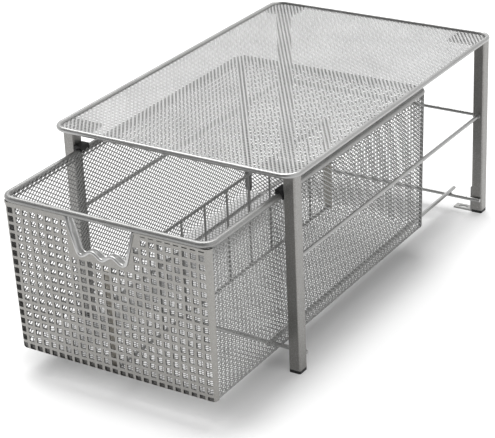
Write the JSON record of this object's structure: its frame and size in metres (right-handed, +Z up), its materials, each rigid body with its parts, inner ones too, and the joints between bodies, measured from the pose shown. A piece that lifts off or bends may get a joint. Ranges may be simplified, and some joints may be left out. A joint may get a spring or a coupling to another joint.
{
  "type": "pull out cabinet basket",
  "caption": "Four-legged cabinet stand with a mesh tray on top and a mesh basket with a perforated front that slides out beneath it, split by a wire divider.",
  "frame": {"origin": "middle of the footprint on the floor, with the basket pulled out as in the picture", "axes": "+Z up, +Y to the back of the cabinet, +X to the right seen from the front; the basket opens towards -Y"},
  "size_m": [0.26, 0.507, 0.2],
  "materials": {
    "frame_paint": "satin silver powder coat",
    "net_paint": "satin silver powder coat on expanded mesh",
    "panel_paint": "satin silver powder coat on perforated sheet",
    "black_plastic": "matt moulded"
  },
  "bodies": {
    "stand": {"tray_rim": "frame_paint", "tray_mesh": "net_paint", "corner_plates": "frame_paint", "front_left_leg": "frame_paint", "front_right_leg": "frame_paint", "rear_left_leg": "frame_paint", "rear_right_leg": "frame_paint", "front_left_foot": "black_plastic", "front_right_foot": "black_plastic", "rear_left_foot": "black_plastic", "rear_right_foot": "black_plastic", "left_side_rail": "frame_paint", "right_side_rail": "frame_paint", "upper_rear_crossbar": "frame_paint", "lower_rear_crossbar": "frame_paint", "lower_front_crossbar": "frame_paint", "left_slide_rail": "frame_paint", "right_slide_rail": "frame_paint", "left_rear_bracket": "frame_paint", "right_rear_bracket": "frame_paint", "left_guide": "black_plastic", "right_guide": "black_plastic"},
    "basket": {"basket_rim": "frame_paint", "front_panel": "panel_paint", "handle_lip": "panel_paint", "front_left_corner": "panel_paint", "front_right_corner": "panel_paint", "rear_left_corner": "panel_paint", "rear_right_corner": "panel_paint", "left_mesh": "net_paint", "right_mesh": "net_paint", "rear_mesh": "net_paint", "floor_mesh": "net_paint"},
    "divider": {"divider_frame": "frame_paint", "divider_front_strip": "frame_paint", "divider_rear_strip": "frame_paint"}
  },
  "joints": [
    {"name": "basket_slide", "type": "slide", "parent": "stand", "child": "basket", "axis": [0, -1, 0], "range_m": [-0.099, 0.2]},
    {"name": "divider_shift", "type": "slide", "parent": "basket", "child": "divider", "axis": [1, 0, 0], "range_m": [-0.085, 0.09]}
  ]
}
